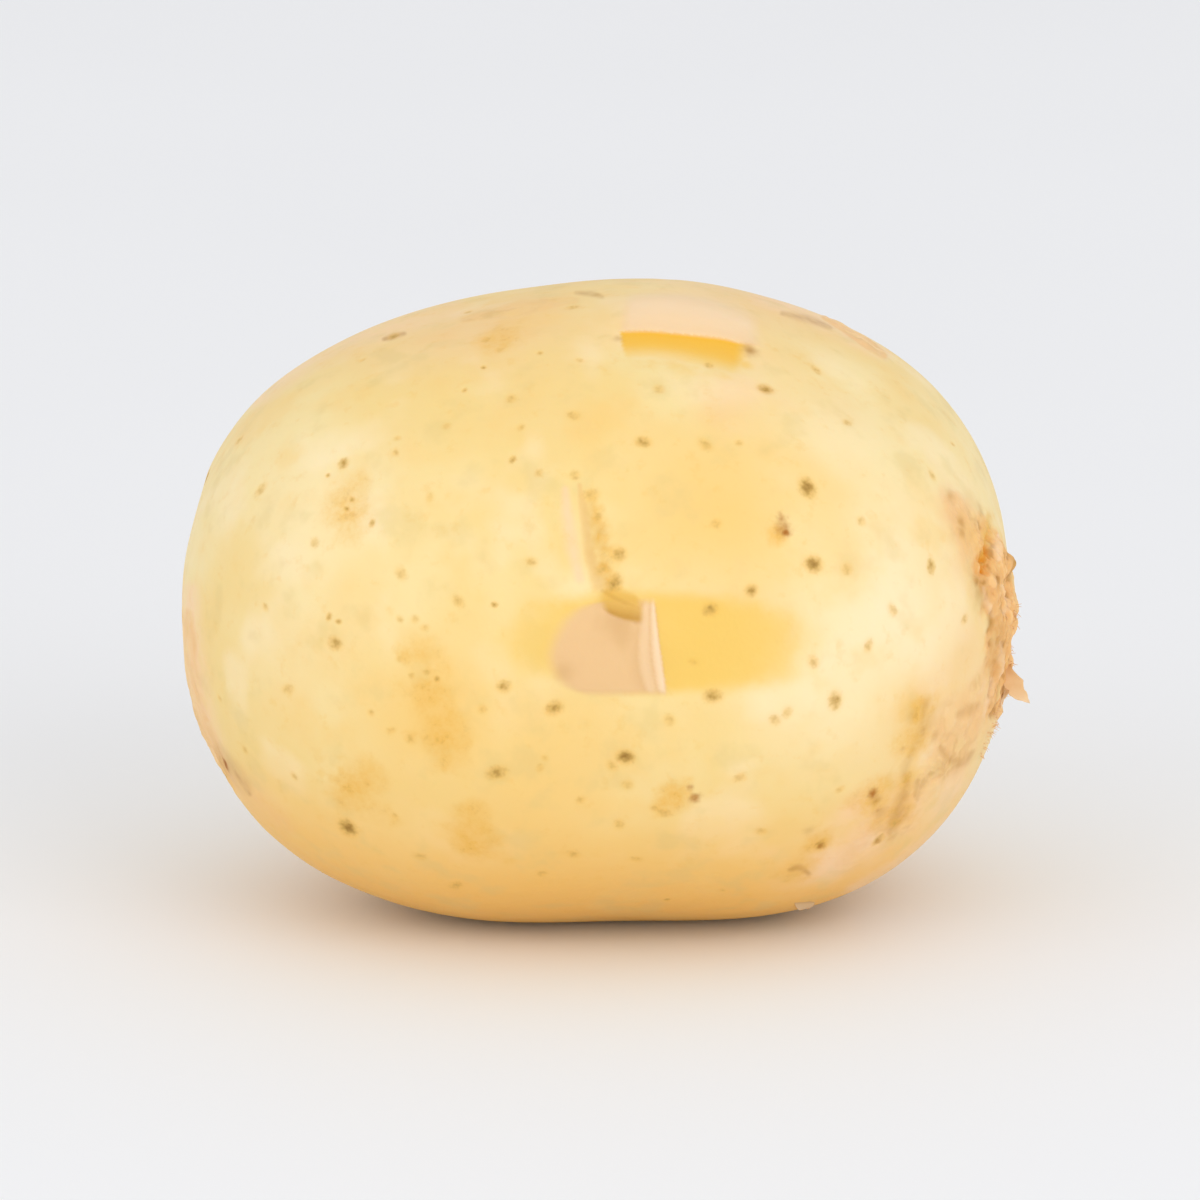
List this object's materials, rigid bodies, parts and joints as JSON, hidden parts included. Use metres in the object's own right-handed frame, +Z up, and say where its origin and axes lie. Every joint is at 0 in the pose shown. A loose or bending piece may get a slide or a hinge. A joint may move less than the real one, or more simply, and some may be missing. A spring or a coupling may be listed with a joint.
{
  "type": "potato",
  "caption": "Whole washed potato: a blunt, lopsided oval tuber with thin pale yellow skin, shallow eyes, a stolon scar and rubbed patches, lying on a small flat spot.",
  "frame": {"origin": "on the surface that the potato lies on, below the middle of its bounding box", "axes": "+X along the tuber towards its stem end, -Y towards the front that the picture shows, +Z up"},
  "size_m": [0.0724, 0.0604, 0.0546],
  "materials": {
    "skin": "satin"
  },
  "bodies": {
    "root": {"tuber": "skin"}
  },
  "joints": []
}
